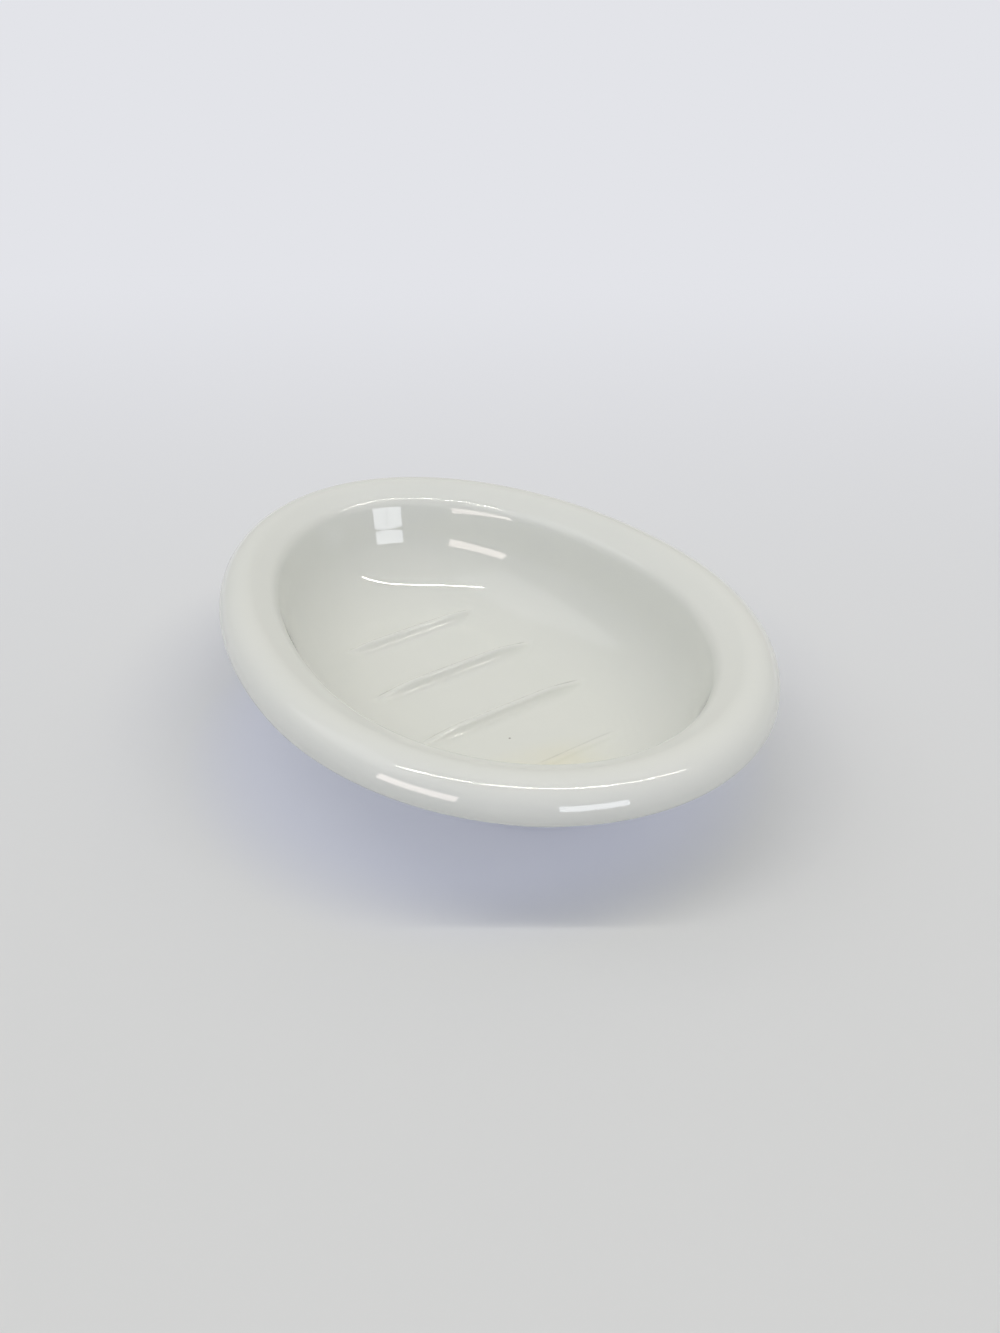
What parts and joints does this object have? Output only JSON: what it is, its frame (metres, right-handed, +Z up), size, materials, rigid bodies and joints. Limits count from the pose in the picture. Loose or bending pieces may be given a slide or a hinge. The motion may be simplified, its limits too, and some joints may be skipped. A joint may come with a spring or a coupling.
{
  "type": "soap dish",
  "caption": "Oval glazed ceramic soap dish with a broad rounded rim, a deep ribbed basin and a small foot on non-slip pads.",
  "frame": {"origin": "on the resting surface, under the middle of the dish's box", "axes": "+X along the dish towards its blunt end, +Z up"},
  "size_m": [0.14, 0.105, 0.0334],
  "materials": {
    "glazed_china": "glossy off-white glaze",
    "silicone_pad": "satin translucent grey"
  },
  "bodies": {
    "root": {"dish_body": "glazed_china", "pad_blunt_left": "silicone_pad", "pad_narrow_left": "silicone_pad", "pad_narrow_right": "silicone_pad", "pad_blunt_right": "silicone_pad"}
  },
  "joints": []
}
